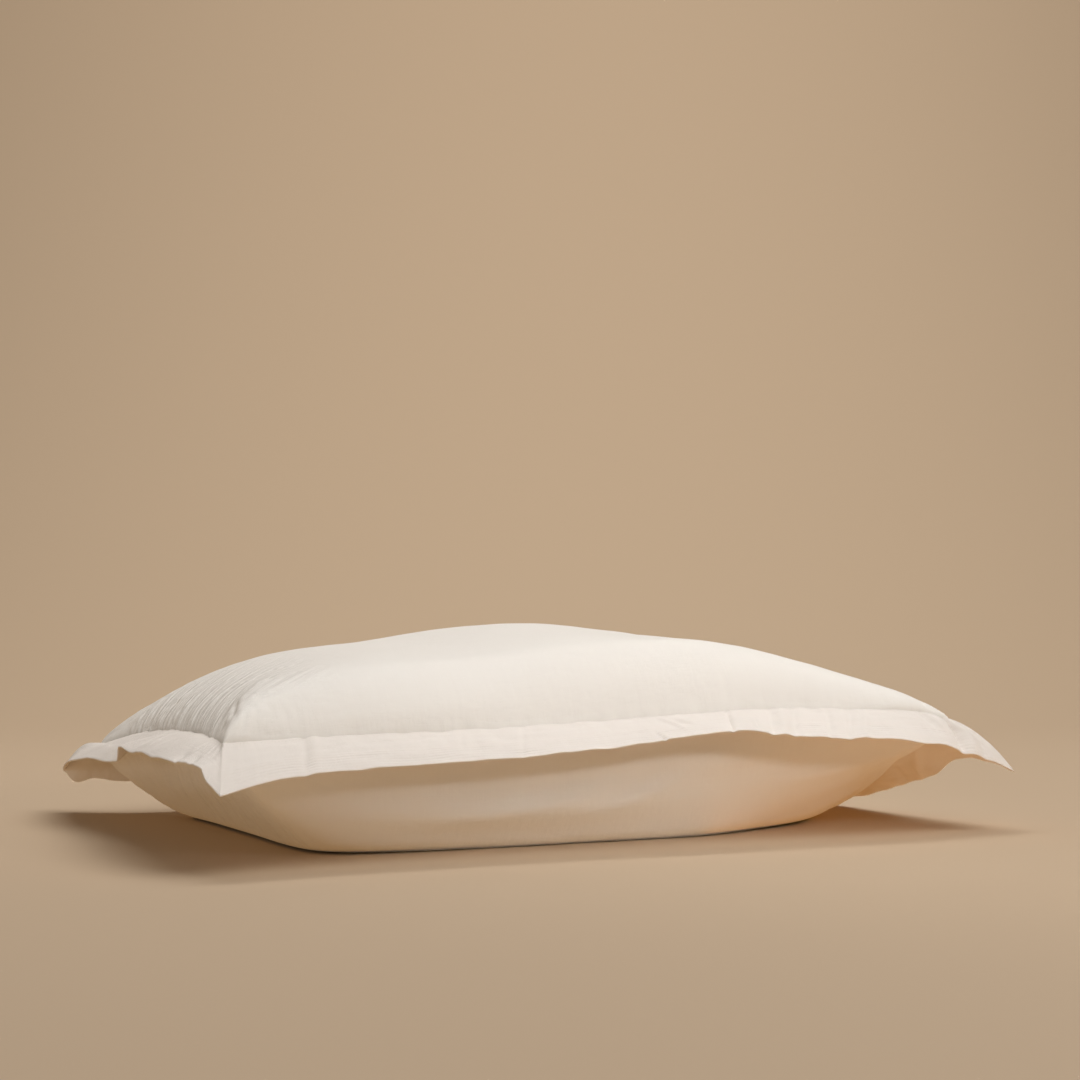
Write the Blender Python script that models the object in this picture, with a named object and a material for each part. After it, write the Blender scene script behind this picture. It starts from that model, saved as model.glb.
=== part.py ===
"""A bordered pillowcase, filled by its pillow and lying on its back panel.

The bag is one filled solid: its top and back panels meet in a seam that draws in between the
corners, and the back panel is flat where the weight presses it down. Round the seam stand four
strips of doubled cloth, mitred at the corners, which hang as uneven as real cloth does.

Lengths in the tables are in centimetres and angles in degrees. The mesh is in metres, +Z up,
with +X along the length and -Y towards the near long side.
"""

import math
from typing import NamedTuple

import bmesh
import bpy
from mathutils import Vector

CM = 0.01

BORDER_WIDTH = 5.0          # from the seam to the free edge
CLOTH = 0.2                 # two layers of cloth and the turned hem between them
SEAM_GAP = 0.04             # air between the strips and the bag
MITRE_GAP = 0.03            # air between two strips at a corner

PANEL_CELLS = (44, 30)      # faces along and across each panel
STRIP_CELLS = {"front": (64, 3), "right": (42, 3), "back": (60, 3), "left": (44, 3)}


class Corner(NamedTuple):
    """A corner of the bag, the way its border's tip points, and how far that tip arches up."""

    seam: tuple
    tip: tuple
    arch: float


class Station(NamedTuple):
    """A place along a side: its share of the side, the seam's height, the border's droop."""

    share: float
    height: float
    droop: float


class Pucker(NamedTuple):
    """A dent in a border: its share of the side, its half width, and how far its edge lifts."""

    share: float
    half_width: float
    lift: float


class Side(NamedTuple):
    """One long side or end of the bag, with its strip of border."""

    start: str
    end: str
    outward: tuple
    draw_in: float          # how far the seam pulls in at the middle
    reach: float            # share of the side over which the corner turns the border
    arch: float             # how far the strip bows up between seam and edge
    stations: tuple
    puckers: tuple


class Section(NamedTuple):
    """A cut across the bag: its share of the half length, and the panels' rise and depth."""

    share: float
    crown: float
    depth: float


CORNERS = {
    "near_left": Corner(seam=(-36.0, -23.25, 10.05), tip=(-1.8, -5.5, -3.6), arch=0.2),
    "near_right": Corner(seam=(33.8, -23.25, 10.3), tip=(5.3, -2.5, -4.8), arch=0.75),
    "far_right": Corner(seam=(34.5, 23.0, 8.5), tip=(4.5, 4.2, -3.3), arch=0.6),
    "far_left": Corner(seam=(-35.0, 23.0, 7.0), tip=(-2.2, 6.0, -2.7), arch=0.4),
}

SIDES = {
    "front": Side(
        start="near_left", end="near_right", outward=(0, -1), draw_in=1.75, reach=0.12, arch=0.2,
        stations=(
            Station(0.00, 10.05, 30), Station(0.15, 10.3, 28), Station(0.35, 10.5, 24),
            Station(0.50, 10.9, 21), Station(0.62, 11.3, 15), Station(0.75, 11.6, 26),
            Station(0.88, 11.3, 28), Station(0.95, 11.1, 33), Station(1.00, 10.3, 20)),
        puckers=(
            Pucker(0.05, 1.5, 0.15), Pucker(0.345, 1.6, -0.12), Pucker(0.60, 1.4, -0.10),
            Pucker(0.66, 2.4, 0.16), Pucker(0.80, 1.8, -0.12), Pucker(0.938, 1.1, 0.35))),
    "right": Side(
        start="near_right", end="far_right", outward=(1, 0), draw_in=1.0, reach=0.22, arch=0.4,
        stations=(
            Station(0.00, 10.3, 10), Station(0.12, 8.1, 12), Station(0.18, 6.3, 20),
            Station(0.30, 4.3, 17), Station(0.55, 3.9, 34), Station(0.80, 5.9, 42),
            Station(1.00, 8.5, 37)),
        puckers=(Pucker(0.26, 2.0, 0.30), Pucker(0.47, 1.8, -0.25), Pucker(0.68, 2.2, 0.45))),
    "back": Side(
        start="far_right", end="far_left", outward=(0, 1), draw_in=1.75, reach=0.11, arch=0.3,
        stations=(
            Station(0.00, 8.5, 30), Station(0.25, 10.0, 30), Station(0.50, 10.4, 34),
            Station(0.75, 9.4, 36), Station(0.90, 7.9, 62), Station(1.00, 7.0, 60)),
        puckers=(
            Pucker(0.14, 1.6, 0.25), Pucker(0.30, 2.2, -0.40), Pucker(0.44, 1.8, 0.30),
            Pucker(0.63, 2.4, -0.35), Pucker(0.81, 1.8, 0.35))),
    "left": Side(
        start="far_left", end="near_left", outward=(-1, 0), draw_in=1.2, reach=0.15, arch=0.3,
        stations=(
            Station(0.00, 7.0, 25), Station(0.12, 7.7, 21), Station(0.25, 8.7, 24),
            Station(0.40, 9.4, 31), Station(0.55, 9.85, 26), Station(0.70, 10.1, 18),
            Station(0.85, 10.2, 14), Station(1.00, 10.05, 4)),
        puckers=(
            Pucker(0.45, 1.0, -0.20), Pucker(0.505, 0.9, 1.10), Pucker(0.70, 1.5, 0.10),
            Pucker(0.87, 1.1, -0.15), Pucker(0.955, 1.1, 0.50))),
}

SECTIONS = (
    Section(-1.00, 7.9, 10.8), Section(-0.70, 8.4, 14.8), Section(-0.35, 8.85, 17.0),
    Section(0.00, 10.5, 17.5), Section(0.30, 11.05, 17.0), Section(0.60, 9.8, 11.3),
    Section(0.85, 7.85, 8.0), Section(1.00, 6.0, 7.0),
)

SHOULDER = 2.0              # roundness of a panel between two seams
TOP_FALL = {"left": 0.56, "right": 0.70, "side": 0.55}
BACK_FALL = {"left": 0.53, "right": 0.33, "side": 0.40}
RIDGE = 3.5                 # sharpness of the ridge that runs up from each corner
PRESS = 1.2                 # height over which the back panel turns on to its flat base


def through(rows, share, column):
    """Read a table's column at a share, on a smooth curve through its rows."""
    last = len(rows) - 2
    index = max(i for i in range(last + 1) if i == 0 or rows[i].share <= share)
    near, far = rows[index], rows[index + 1]

    def slope(i):
        low, high = rows[max(i - 1, 0)], rows[min(i + 1, last + 1)]
        return (getattr(high, column) - getattr(low, column)) / (high.share - low.share)

    step = far.share - near.share
    t = (share - near.share) / step
    rise = getattr(far, column) - getattr(near, column)
    hermite = rise * (3.0 - 2.0 * t) * t * t
    hermite += step * t * (1.0 - t) * (slope(index) * (1.0 - t) - slope(index + 1) * t)
    return getattr(near, column) + hermite


def seam(side, share):
    """A point of the seam, on a side's drawn-in line."""
    start = Vector(CORNERS[side.start].seam)
    point = start.lerp(Vector(CORNERS[side.end].seam), share)
    pull = side.draw_in * (1.0 - (2.0 * share - 1.0) ** 2)
    point -= pull * Vector((*side.outward, 0.0))
    point.z = through(side.stations, share, "height")
    return point


def corner_pull(side, share):
    """How much of each corner's tip is in the border here, at the start and at the end."""
    at_start = max(0.0, 1.0 - share / side.reach) ** 2
    at_end = max(0.0, 1.0 - (1.0 - share) / side.reach) ** 2
    return at_start, at_end


def border(side, share, across):
    """A point in the middle of a strip's cloth, from its seam at 0 to its edge at 1."""
    start, end = CORNERS[side.start], CORNERS[side.end]
    outward = Vector((*side.outward, 0.0))
    droop = math.radians(through(side.stations, share, "droop"))
    fall = BORDER_WIDTH * Vector((*(outward.xy * math.cos(droop)), -math.sin(droop)))
    at_start, at_end = corner_pull(side, share)
    free = 1.0 - at_start - at_end
    fall = free * fall + at_start * Vector(start.tip) + at_end * Vector(end.tip)
    arch = free * side.arch + at_start * start.arch + at_end * end.arch
    lift = arch * 4.0 * across * (1.0 - across)
    length = (Vector(end.seam) - Vector(start.seam)).length
    for pucker in side.puckers:
        away = (share - pucker.share) * length / pucker.half_width
        lift += pucker.lift * across * across * math.exp(-away * away)
    return seam(side, share) + across * fall + Vector((0.0, 0.0, lift))


def membrane(u, v):
    """The flat-stretched sheet that the seam would span, at shares -1 to 1 of the bag."""
    s, t = (u + 1.0) / 2.0, (v + 1.0) / 2.0
    near, far = seam(SIDES["front"], s), seam(SIDES["back"], 1.0 - s)
    left, right = seam(SIDES["left"], 1.0 - t), seam(SIDES["right"], t)
    ends = near.lerp(far, t) + left.lerp(right, s)
    low = Vector(CORNERS["near_left"].seam).lerp(Vector(CORNERS["near_right"].seam), s)
    high = Vector(CORNERS["far_left"].seam).lerp(Vector(CORNERS["far_right"].seam), s)
    return ends - low.lerp(high, t)


def fullness(u, v, fall):
    """How full a panel stands, from 0 at the seam to 1 in the middle."""
    along = (1.0 - abs(u) ** SHOULDER) ** fall["left" if u < 0.0 else "right"]
    across = (1.0 - abs(v) ** SHOULDER) ** fall["side"]
    if min(along, across) <= 0.0:
        return 0.0
    return (2.0 / (along ** -RIDGE + across ** -RIDGE)) ** (1.0 / RIDGE)


def pressed(height):
    """A height as the surface below leaves it, with a soft turn on to the flat base."""
    if height <= -PRESS:
        return 0.0
    if height >= PRESS:
        return height
    return (height + PRESS) ** 2 / (4.0 * PRESS)


def top_panel(u, v):
    """A point of the crowned top panel."""
    point = membrane(u, v)
    point.z += through(SECTIONS, u, "crown") * fullness(u, v, TOP_FALL)
    return point


def back_panel(u, v):
    """A point of the back panel, which lies flat where it is pressed down."""
    point = membrane(u, v)
    point.z = pressed(point.z - through(SECTIONS, u, "depth") * fullness(u, v, BACK_FALL))
    return point


def spread(count):
    """Shares from -1 to 1 that crowd towards both ends, where the panels turn steeply."""
    return [math.sin(math.pi * (i / count - 0.5)) for i in range(count + 1)]


def grid_faces(shell, rows, flip=False):
    """Join neighbouring points of a grid with faces."""
    for low, high in zip(rows, rows[1:]):
        for i in range(len(low) - 1):
            loop = [low[i], high[i], high[i + 1], low[i + 1]]
            shell.faces.new(reversed(loop) if flip else loop)


def filled_bag():
    """Both panels as one closed solid that shares the seam's points."""
    shell = bmesh.new()
    along, across = spread(PANEL_CELLS[0]), spread(PANEL_CELLS[1])
    top = [[shell.verts.new(top_panel(u, v)) for v in across] for u in along]
    back = [[point for point in row] for row in top]
    for i, u in enumerate(along[1:-1], start=1):
        for j, v in enumerate(across[1:-1], start=1):
            back[i][j] = shell.verts.new(back_panel(u, v))
    grid_faces(shell, top)
    grid_faces(shell, back, flip=True)
    return shell


def strip_normal(side, share, across):
    """The upward normal of a strip, which turns to the mitre's own at both ends."""
    step = 0.01
    low, high = max(share - step, 0.0), min(share + step, 1.0)
    along = border(side, high, across) - border(side, low, across)
    fall = border(side, share, across + step) - border(side, share, across - step)
    normal = along.cross(fall)
    normal *= -1.0 if normal.z < 0.0 else 1.0
    return normal.normalized()


def mitre_normal(name, across):
    """The shared normal of the two strips that meet at a corner."""
    meeting = [(side, 0.0) for side in SIDES.values() if side.start == name]
    meeting += [(side, 1.0) for side in SIDES.values() if side.end == name]
    total = sum((strip_normal(side, share, across) for side, share in meeting), Vector())
    return total.normalized()


def mitred_strip(name):
    """One strip of doubled cloth, clear of the bag and of the strips at its two ends."""
    side = SIDES[name]
    shell = bmesh.new()
    cells, bands = STRIP_CELLS[name]
    outward = Vector((*side.outward, 0.0))
    run = (Vector(CORNERS[side.end].seam) - Vector(CORNERS[side.start].seam)).normalized()
    upper, lower = [], []
    for i in range(cells + 1):
        share = i / cells
        upper_row, lower_row = [], []
        for j in range(bands + 1):
            across = j / bands
            middle = border(side, share, across)
            normal = strip_normal(side, share, across)
            if i in (0, cells):
                corner = side.start if i == 0 else side.end
                normal = mitre_normal(corner, across)
                middle += run * MITRE_GAP * (1.0 if i == 0 else -1.0)
            middle += outward * (SEAM_GAP + CLOTH / 2.0) * (1.0 - across)
            upper_row.append(shell.verts.new(middle + normal * CLOTH / 2.0))
            lower_row.append(shell.verts.new(middle - normal * CLOTH / 2.0))
        upper.append(upper_row)
        lower.append(lower_row)
    grid_faces(shell, upper)
    grid_faces(shell, lower, flip=True)
    seam_edge = [[row[0] for row in lower], [row[0] for row in upper]]
    free_edge = [[row[-1] for row in upper], [row[-1] for row in lower]]
    grid_faces(shell, seam_edge)
    grid_faces(shell, free_edge)
    grid_faces(shell, [lower[0], upper[0]], flip=True)
    grid_faces(shell, [lower[-1], upper[-1]])
    return shell


def cotton(name, colour, roughness):
    """A cotton finish."""
    material = bpy.data.materials.new(name)
    material.use_nodes = True
    shader = material.node_tree.nodes["Principled BSDF"]
    shader.inputs["Base Color"].default_value = (*colour, 1.0)
    shader.inputs["Roughness"].default_value = roughness
    shader.inputs["Metallic"].default_value = 0.0
    return material


def add_piece(name, shell, material):
    """Turn a shell into a named object in metres, with its faces pointing out."""
    bmesh.ops.recalc_face_normals(shell, faces=shell.faces)
    mesh = bpy.data.meshes.new(name)
    shell.to_mesh(mesh)
    shell.free()
    for vertex in mesh.vertices:
        vertex.co *= CM
    mesh.materials.append(material)
    mesh.shade_smooth()
    mesh.set_sharp_from_angle(angle=math.radians(50.0))
    piece = bpy.data.objects.new(name, mesh)
    bpy.context.scene.collection.objects.link(piece)
    return piece


def set_on_origin(pieces):
    """Shift every mesh so that the whole part's box stands centred on the origin."""
    points = [vertex.co for piece in pieces for vertex in piece.data.vertices]
    low = Vector(min(point[axis] for point in points) for axis in range(3))
    high = Vector(max(point[axis] for point in points) for axis in range(3))
    shift = Vector(((low.x + high.x) / 2.0, (low.y + high.y) / 2.0, low.z))
    for piece in pieces:
        for vertex in piece.data.vertices:
            vertex.co -= shift


def build():
    """Make the whole pillowcase in an empty scene."""
    for old in list(bpy.data.objects):
        bpy.data.objects.remove(old, do_unlink=True)
    panel_cotton = cotton("panel_cotton", (0.80, 0.76, 0.70), 0.62)
    border_cotton = cotton("border_cotton", (0.78, 0.73, 0.66), 0.65)
    pieces = [add_piece("filled_bag", filled_bag(), panel_cotton)]
    for name in SIDES:
        pieces.append(add_piece(f"border_{name}", mitred_strip(name), border_cotton))
    set_on_origin(pieces)


build()
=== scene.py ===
"""Looks of a bordered pillowcase that lies plump with its pillow.

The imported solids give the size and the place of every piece. This script sews the same bag and
the same four mitred border strips again in fine mesh, gathers and creases their cloth, stitches
the seam, dresses them in woven cotton and lights them in a plain studio.

Lengths in the tables are in centimetres and angles in degrees, in the maker's frame: +X along
the pillowcase, -Y towards its near long side, with z = 0 where it lies. Meshes are in metres.
"""

import logging
import math
from dataclasses import dataclass, field
from enum import Enum

import bpy
import numpy as np
from mathutils import Euler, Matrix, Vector


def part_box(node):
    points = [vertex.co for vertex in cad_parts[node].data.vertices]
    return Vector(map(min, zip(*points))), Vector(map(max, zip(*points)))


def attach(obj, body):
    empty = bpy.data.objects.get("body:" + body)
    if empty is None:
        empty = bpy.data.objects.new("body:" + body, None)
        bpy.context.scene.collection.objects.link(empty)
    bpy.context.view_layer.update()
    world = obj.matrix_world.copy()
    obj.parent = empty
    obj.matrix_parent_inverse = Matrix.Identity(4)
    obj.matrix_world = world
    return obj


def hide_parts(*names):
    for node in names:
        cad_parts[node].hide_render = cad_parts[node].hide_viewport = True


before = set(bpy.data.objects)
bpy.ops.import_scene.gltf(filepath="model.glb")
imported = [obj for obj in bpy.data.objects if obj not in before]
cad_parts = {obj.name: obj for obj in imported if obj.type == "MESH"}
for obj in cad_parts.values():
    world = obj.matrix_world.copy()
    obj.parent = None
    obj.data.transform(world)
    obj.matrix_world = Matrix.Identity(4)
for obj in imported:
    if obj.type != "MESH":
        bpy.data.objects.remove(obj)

CM = 0.01
SHARP_ANGLE = 62.0
UP = np.array((0.0, 0.0, 1.0))

Array = np.ndarray
Pair = tuple[float, float]
Triple = tuple[float, float, float]
log = logging.getLogger("pillowcase")


# --------------------------------------------------------------------------- the maker's tables


class Edge(Enum):
    """The four sides of the bag."""

    FRONT = "front"
    RIGHT = "right"
    BACK = "back"
    LEFT = "left"


class Face(Enum):
    """The two panels of the bag."""

    TOP = "top"
    BACK = "back"


@dataclass(frozen=True)
class Corner:
    """A corner of the bag, the way its border's tip points, and how far that tip arches up."""

    seam: Triple
    tip: Triple
    arch: float


@dataclass(frozen=True)
class Station:
    """A place along a side: its share of the side, the seam's height, the border's droop."""

    share: float
    height: float
    droop: float


@dataclass(frozen=True)
class Pucker:
    """A dent in a border: its share of the side, its half width, and how far its edge lifts."""

    share: float
    half_width: float
    lift: float


@dataclass(frozen=True)
class Tuck:
    """A place where a border buckles: its edge rises in a steep step and falls off again.

    The rise lies after the step where it faces ahead, at 1, and before it at -1. The slant is
    how much nearer the step stands at the seam than at the free edge.
    """

    share: float
    rise: float
    rise_run: float
    dip: float
    dip_run: float
    steepness: float
    facing: float = 1.0
    slant: float = 0.0

    def lift(self, away: Array, across: Array) -> Array:
        """Lift the cloth beside the step.

        Args:
            away: Distances past the step, along the side.
            across: Shares of the way from the seam to the free edge.

        Returns:
            How far the cloth lifts there.
        """
        past = self.facing * away + self.slant * (1.0 - across)
        over = 0.5 + 0.5 * np.tanh(past / self.steepness)
        up = self.rise * over * np.exp(-((np.maximum(past, 0.0) / self.rise_run) ** 2))
        return up - self.dip * (1.0 - over) * np.exp(np.minimum(past, 0.0) / self.dip_run)


@dataclass(frozen=True)
class Side:
    """One long side or end of the bag, with its strip of border."""

    start: str
    end: str
    outward: Pair
    draw_in: float
    reach: float
    arch: float
    stations: tuple[Station, ...]
    puckers: tuple[Pucker, ...]
    tucks: tuple[Tuck, ...] = ()

    def away(self) -> Array:
        """The level direction away from the bag."""
        return np.array((*self.outward, 0.0))


@dataclass(frozen=True)
class Section:
    """A cut across the bag: its share of the half length, and the panels' rise and depth."""

    share: float
    crown: float
    depth: float


CORNERS = {
    "near_left": Corner(seam=(-36.0, -23.25, 10.05), tip=(-1.8, -5.5, -3.6), arch=0.2),
    "near_right": Corner(seam=(33.8, -23.25, 10.3), tip=(5.3, -2.5, -4.8), arch=0.75),
    "far_right": Corner(seam=(34.5, 23.0, 8.5), tip=(4.5, 4.2, -3.3), arch=0.6),
    "far_left": Corner(seam=(-35.0, 23.0, 7.0), tip=(-2.2, 6.0, -2.8), arch=1.1),
}

SIDES = {
    Edge.FRONT: Side(
        start="near_left", end="near_right", outward=(0, -1), draw_in=1.75, reach=0.12, arch=0.2,
        stations=(
            Station(0.00, 10.05, 30), Station(0.15, 10.3, 28), Station(0.35, 10.5, 24),
            Station(0.50, 10.9, 21), Station(0.62, 11.3, 15), Station(0.75, 11.6, 26),
            Station(0.88, 11.3, 28), Station(0.95, 11.1, 33), Station(1.00, 10.3, 20)),
        puckers=(
            Pucker(0.05, 1.5, 0.15), Pucker(0.345, 1.6, -0.12), Pucker(0.60, 1.4, -0.10),
            Pucker(0.66, 2.4, 0.16), Pucker(0.80, 1.8, -0.12), Pucker(0.938, 1.1, 0.35))),
    Edge.RIGHT: Side(
        start="near_right", end="far_right", outward=(1, 0), draw_in=1.0, reach=0.22, arch=0.4,
        stations=(
            Station(0.00, 10.3, 10), Station(0.12, 8.1, 12), Station(0.18, 6.3, 20),
            Station(0.30, 4.3, 17), Station(0.55, 3.9, 34), Station(0.80, 5.9, 42),
            Station(1.00, 8.5, 37)),
        puckers=(Pucker(0.26, 2.0, 0.30), Pucker(0.47, 1.8, -0.25), Pucker(0.68, 2.2, 0.45))),
    Edge.BACK: Side(
        start="far_right", end="far_left", outward=(0, 1), draw_in=1.75, reach=0.11, arch=0.3,
        stations=(
            Station(0.00, 8.5, 30), Station(0.25, 10.0, 30), Station(0.50, 10.4, 34),
            Station(0.75, 9.4, 36), Station(0.90, 7.9, 62), Station(1.00, 7.0, 60)),
        puckers=(
            Pucker(0.14, 1.6, 0.25), Pucker(0.30, 2.2, -0.40), Pucker(0.44, 1.8, 0.30),
            Pucker(0.63, 2.4, -0.35), Pucker(0.81, 1.8, 0.35), Pucker(0.955, 1.4, -0.30),
            Pucker(0.989, 0.8, -1.00))),
    Edge.LEFT: Side(
        start="far_left", end="near_left", outward=(-1, 0), draw_in=1.2, reach=0.15, arch=0.3,
        stations=(
            Station(0.00, 7.0, 25), Station(0.12, 7.7, 21), Station(0.25, 8.7, 24),
            Station(0.40, 9.4, 31), Station(0.55, 9.85, 26), Station(0.70, 10.1, 18),
            Station(0.85, 10.2, 14), Station(1.00, 10.05, 4)),
        puckers=(
            Pucker(0.70, 1.5, 0.10), Pucker(0.829, 2.5, -0.15), Pucker(0.87, 1.1, -0.15)),
        tucks=(
            Tuck(0.497, 1.10, 4.7, 0.15, 2.0, 0.20),
            Tuck(0.979, 1.05, 1.6, -0.35, 1.0, 0.12, facing=-1.0, slant=0.9))),
}

SECTIONS = (
    Section(-1.00, 7.9, 10.8), Section(-0.70, 8.40, 14.8), Section(-0.35, 8.85, 17.0),
    Section(0.00, 10.50, 17.5), Section(0.30, 11.05, 17.0), Section(0.60, 9.80, 11.3),
    Section(0.85, 7.85, 8.0), Section(1.00, 6.0, 7.0),
)


# ------------------------------------------------------------------------------- small helpers


def through(rows: tuple, share: Array, column: str) -> Array:
    """Read a table's column at some shares, on a smooth curve through its rows.

    Args:
        rows: Rows with a share each, in rising order.
        share: The shares to read at.
        column: The name of the column.

    Returns:
        The column's values there.
    """
    places = np.array([row.share for row in rows])
    values = np.array([getattr(row, column) for row in rows], dtype=float)
    last = len(rows) - 1
    before, after = np.maximum(np.arange(last + 1) - 1, 0), np.minimum(np.arange(last + 1) + 1, last)
    slopes = (values[after] - values[before]) / (places[after] - places[before])
    index = np.clip(np.searchsorted(places, share, side="right") - 1, 0, last - 1)
    step = places[index + 1] - places[index]
    t = (share - places[index]) / step
    rise = values[index + 1] - values[index]
    bend = t * (1.0 - t) * (slopes[index] * (1.0 - t) - slopes[index + 1] * t)
    return values[index] + rise * (3.0 - 2.0 * t) * t * t + step * bend


def ease(value: Array, low: float, high: float) -> Array:
    """Rise smoothly from 0 at low to 1 at high."""
    t = np.clip((value - low) / (high - low), 0.0, 1.0)
    return t * t * (3.0 - 2.0 * t)


def unit(vectors: Array) -> Array:
    """Scale vectors to length one."""
    return vectors / np.maximum(np.linalg.norm(vectors, axis=-1, keepdims=True), 1e-12)


def surface_normals(points: Array) -> Array:
    """Find the normal at each point of a grid, turned by its two directions."""
    return unit(np.cross(np.gradient(points, axis=0), np.gradient(points, axis=1)))


def round_folds(phase: Array, valley: float = 0.03, middle: float = 0.66) -> Array:
    """Round folds with narrow valleys, one for each half turn, about a middle height of 0."""
    return np.sqrt(np.sin(phase) ** 2 + valley) - middle


def seam_ends(edge: Edge) -> tuple[Array, Array]:
    """Find the seam corners at a side's start and end."""
    side = SIDES[edge]
    return np.array(CORNERS[side.start].seam), np.array(CORNERS[side.end].seam)


def seam_length(edge: Edge) -> float:
    """Measure a side straight from corner to corner."""
    start, end = seam_ends(edge)
    return float(np.linalg.norm(end - start))


@dataclass(frozen=True)
class Tremor:
    """A smooth, seeded wander, made of a few waves of unlike length."""

    seed: int
    shortest: float
    longest: float
    waves: int = 12

    def along(self, places: Array) -> Array:
        """Wander along a line.

        Args:
            places: Places on the line.

        Returns:
            Values between about -1 and 1.
        """
        chance = np.random.default_rng(self.seed)
        lengths = chance.uniform(self.shortest, self.longest, self.waves)
        turns = chance.uniform(0.0, 2.0 * math.pi, self.waves)
        total = sum(np.sin(2.0 * math.pi * places / a + b) for a, b in zip(lengths, turns))
        return total / math.sqrt(self.waves)

    def over(self, x: Array, y: Array) -> Array:
        """Wander over a sheet.

        Args:
            x: Places along the sheet.
            y: Places across it.

        Returns:
            Values between about -1 and 1.
        """
        chance = np.random.default_rng(self.seed)
        total = np.zeros_like(x)
        for _ in range(self.waves):
            length = chance.uniform(self.shortest, self.longest)
            heading, turn = chance.uniform(0.0, 2.0 * math.pi, 2)
            across = x * math.cos(heading) + y * math.sin(heading)
            total += np.sin(2.0 * math.pi * across / length + turn)
        return total / math.sqrt(self.waves)


@dataclass(frozen=True)
class Gathers:
    """Small round folds that run in from a seam, fade away from it, and end before the stop.

    The slant is how far they lean along the seam, and the sway how far they wander aside.
    """

    seed: int
    spacing: float
    height: float
    run: float
    slant: float = 0.0
    stop: float = 100.0
    stop_fade: float = 9.0
    sway: float = 0.12
    unevenness: float = 1.6

    def relief(self, along: Array, away: Array) -> Array:
        """Raise the cloth in folds.

        Args:
            along: Distances along the seam.
            away: Distances away from it over the cloth.

        Returns:
            The cloth's height there.
        """
        wander = Tremor(self.seed, 3.0 * self.spacing, 9.0 * self.spacing)
        bend = Tremor(self.seed + 1, 4.0, 11.0)
        drift = self.sway * away * bend.along(along + 0.6 * away) + self.slant * away
        phase = math.pi * (along + drift) / self.spacing + self.unevenness * wander.along(along)
        strength = 0.65 + 0.55 * Tremor(self.seed + 2, 1.6 * self.spacing, 8.0).along(along)
        run = self.run * np.clip(0.75 + 0.5 * Tremor(self.seed + 3, 2.0, 9.0).along(along), 0.25, 2.0)
        height = self.height * ease(self.stop - along, 0.0, self.stop_fade)
        return height * round_folds(phase) * np.clip(strength, 0.0, 2.0) * np.exp(-((away / run) ** 1.5))


@dataclass(frozen=True)
class Fold:
    """A soft ridge, or a valley if its height is negative, from one place to another.

    Both places are distances along a seam and away from it.
    """

    edge: Edge
    start: Pair
    end: Pair
    width: float
    height: float
    bow: float = 0.0

    def relief(self, along: Array, away: Array) -> Array:
        """Raise the cloth in this fold.

        Args:
            along: Distances along the seam.
            away: Distances away from it over the cloth.

        Returns:
            The cloth's height there.
        """
        run = np.array(self.end) - np.array(self.start)
        length = float(np.hypot(*run))
        ahead = ((along - self.start[0]) * run[0] + (away - self.start[1]) * run[1]) / length
        aside = ((away - self.start[1]) * run[0] - (along - self.start[0]) * run[1]) / length
        t = np.clip(ahead / length, 0.0, 1.0)
        beyond = ahead - t * length
        aside = aside - self.bow * 4.0 * t * (1.0 - t)
        shape = np.exp(-((aside / self.width) ** 2) - (beyond / self.width) ** 2)
        return self.height * shape * (0.25 + 0.75 * np.sin(math.pi * t))


def folded(edge: Edge, *rows: tuple[float, ...]) -> tuple[Fold, ...]:
    """Make folds from rows of start, end, width, height and, for some, how far they bow."""
    return tuple(Fold(edge, row[:2], row[2:4], *row[4:]) for row in rows)


@dataclass(frozen=True)
class CornerDrag:
    """Creases that fan out over a panel from a corner, where the seams hold it."""

    corner: str
    creases: float
    reach: float
    height: float
    seed: int
    clear: Pair = (0.4, 2.5)
    sway: float = 0.9

    def relief(self, x: Array, y: Array) -> Array:
        """Raise the cloth in creases.

        Args:
            x: Places along the bag.
            y: Places across it.

        Returns:
            The cloth's height there.
        """
        hub = CORNERS[self.corner].seam
        inward_x, inward_y = -math.copysign(1.0, hub[0]), -math.copysign(1.0, hub[1])
        dx, dy = (x - hub[0]) * inward_x, (y - hub[1]) * inward_y
        distance = np.hypot(dx, dy)
        angle = np.arctan2(dy, dx)
        wander = Tremor(self.seed, 2.0, 7.0).over(x, y)
        lobes = round_folds(self.creases * angle + self.sway * wander)
        return self.height * lobes * ease(distance, *self.clear) * np.exp(-((distance / self.reach) ** 2))


# --------------------------------------------------------------------------- the cloth's form


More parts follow.
